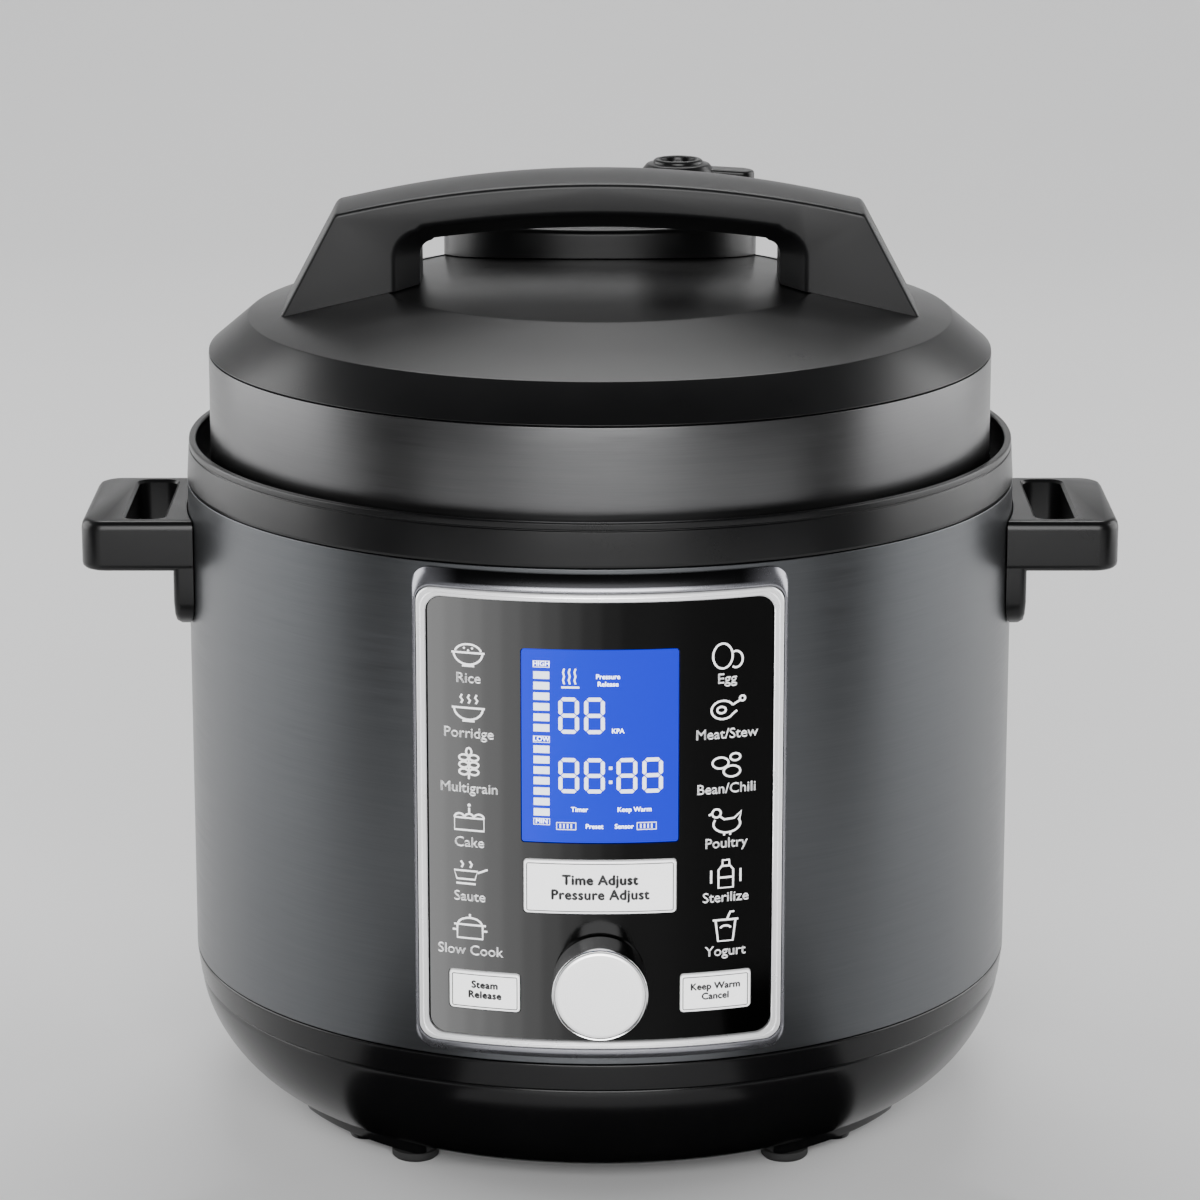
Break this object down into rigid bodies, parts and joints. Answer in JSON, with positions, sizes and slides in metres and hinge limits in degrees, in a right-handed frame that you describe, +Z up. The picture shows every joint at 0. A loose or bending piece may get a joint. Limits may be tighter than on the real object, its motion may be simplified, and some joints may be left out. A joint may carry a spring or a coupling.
{
  "type": "electric pressure cooker",
  "caption": "Round countertop electric pressure cooker with bayonet lid, arched lid handle, side handles and a front panel with display, buttons and a turning knob.",
  "frame": {"origin": "on the pot's axis, in the plane of the feet", "axes": "+Z up along the pot's axis, -Y towards the control panel, +X towards the right-hand side handle seen from the front"},
  "size_m": [0.333, 0.303, 0.3057],
  "materials": {
    "brushed_steel": "horizontally brushed dark stainless steel",
    "bright_steel": "pressed stainless steel, bright",
    "pot_steel": "satin stainless steel",
    "black_plastic": "satin black moulded plastic",
    "handle_plastic": "fine matte black moulded plastic",
    "gloss_black": "high gloss black",
    "grey_plastic": "silver-grey painted plastic",
    "chrome": "bright plated plastic",
    "satin_silver": "satin silver plating",
    "window": "lit blue liquid crystal display behind clear window",
    "clear_plastic": "clear moulded plastic",
    "rubber": "black rubber",
    "silicone": "translucent white silicone",
    "aluminium": "cast and machined aluminium",
    "circuit_board": "green solder mask",
    "component": "moulded black component bodies",
    "zinc": "zinc plated steel"
  },
  "bodies": {
    "root": {"base_shell": "black_plastic", "bottom_cover": "black_plastic", "power_board": "circuit_board", "relay": "component", "transformer": "component", "power_inlet": "black_plastic", "inlet_pin_line": "zinc", "inlet_pin_neutral": "zinc", "inlet_pin_earth": "zinc", "body_shell": "brushed_steel", "top_collar": "black_plastic", "outer_pot": "bright_steel", "heating_plate": "aluminium", "heating_element": "zinc", "sensor_bracket": "zinc", "side_handle_left": "handle_plastic", "side_handle_right": "handle_plastic", "handle_screw_left": "zinc", "handle_screw_right": "zinc", "cup_holder": "black_plastic", "panel_surround": "grey_plastic", "chrome_trim": "chrome", "panel_chassis": "black_plastic", "control_fascia": "gloss_black", "display_window": "window", "lcd_module": "component", "control_board": "circuit_board", "rotary_encoder": "component", "tact_switch_1": "component", "tact_switch_2": "component", "tact_switch_3": "component", "rubber_foot_1": "rubber", "rubber_foot_2": "rubber", "rubber_foot_3": "rubber", "rubber_foot_4": "rubber", "cover_screw_1": "zinc", "cover_screw_2": "zinc", "cover_screw_3": "zinc"},
    "lid_seal": {"sealing_ring": "silicone"},
    "lid": {"lid_cover": "black_plastic", "lid_band": "brushed_steel", "steel_lid": "bright_steel", "lid_nut": "zinc", "lid_handle": "handle_plastic", "lid_handle_screw_left": "zinc", "lid_handle_screw_right": "zinc", "valve_housing": "gloss_black", "vent_pipe": "zinc", "anti_block_shield": "bright_steel"},
    "inner_pot": {"inner_pot": "pot_steel"},
    "steam_valve": {"steam_valve": "black_plastic"},
    "float_valve": {"float_valve": "zinc", "float_seal": "silicone"},
    "control_knob": {"control_knob": "chrome", "knob_face": "satin_silver"},
    "adjust_button": {"adjust_button": "satin_silver"},
    "steam_button": {"steam_button": "satin_silver"},
    "cancel_button": {"cancel_button": "satin_silver"},
    "temperature_sensor": {"temperature_sensor": "aluminium"},
    "condensation_cup": {"condensation_cup": "clear_plastic"}
  },
  "joints": [
    {"name": "lid_lift", "type": "slide", "parent": "root", "child": "lid_seal", "axis": [0, 0, 1], "range_m": [0, 0.34]},
    {"name": "lid_turn", "type": "hinge", "parent": "lid_seal", "child": "lid", "pos_m": [0, 0, 0.21], "axis": [0, 0, 1], "range_deg": [0, 30]},
    {"name": "inner_pot_lift", "type": "slide", "parent": "root", "child": "inner_pot", "axis": [0, 0, 1], "range_m": [0, 0.17]},
    {"name": "steam_valve_turn", "type": "hinge", "parent": "lid", "child": "steam_valve", "pos_m": [0.026, 0.06, 0.2818], "axis": [0, 0, 1], "range_deg": [0, 60]},
    {"name": "float_valve_rise", "type": "slide", "parent": "lid", "child": "float_valve", "axis": [0, 0, 1], "range_m": [0, 0.004]},
    {"name": "knob_turn", "type": "hinge", "parent": "root", "child": "control_knob", "pos_m": [0, -0.1515, 0.0784], "axis": [0, -1, 0], "continuous": true},
    {"name": "adjust_press", "type": "slide", "parent": "root", "child": "adjust_button", "axis": [0, 1, 0], "range_m": [0, 0.0008], "stiffness_N_per_m": 1500},
    {"name": "steam_press", "type": "slide", "parent": "root", "child": "steam_button", "axis": [0, 1, 0], "range_m": [0, 0.0008], "stiffness_N_per_m": 1500},
    {"name": "cancel_press", "type": "slide", "parent": "root", "child": "cancel_button", "axis": [0, 1, 0], "range_m": [0, 0.0008], "stiffness_N_per_m": 1500},
    {"name": "sensor_press", "type": "slide", "parent": "root", "child": "temperature_sensor", "axis": [0, 0, 1], "range_m": [-0.003, 0], "stiffness_N_per_m": 400, "springref_m": 0.004},
    {"name": "cup_slide", "type": "slide", "parent": "root", "child": "condensation_cup", "axis": [0, 1, 0], "range_m": [0, 0.03]}
  ],
  "couplings": [
    {"joint": "inner_pot_lift", "follows": "lid_lift", "ratio": 0.5}
  ]
}
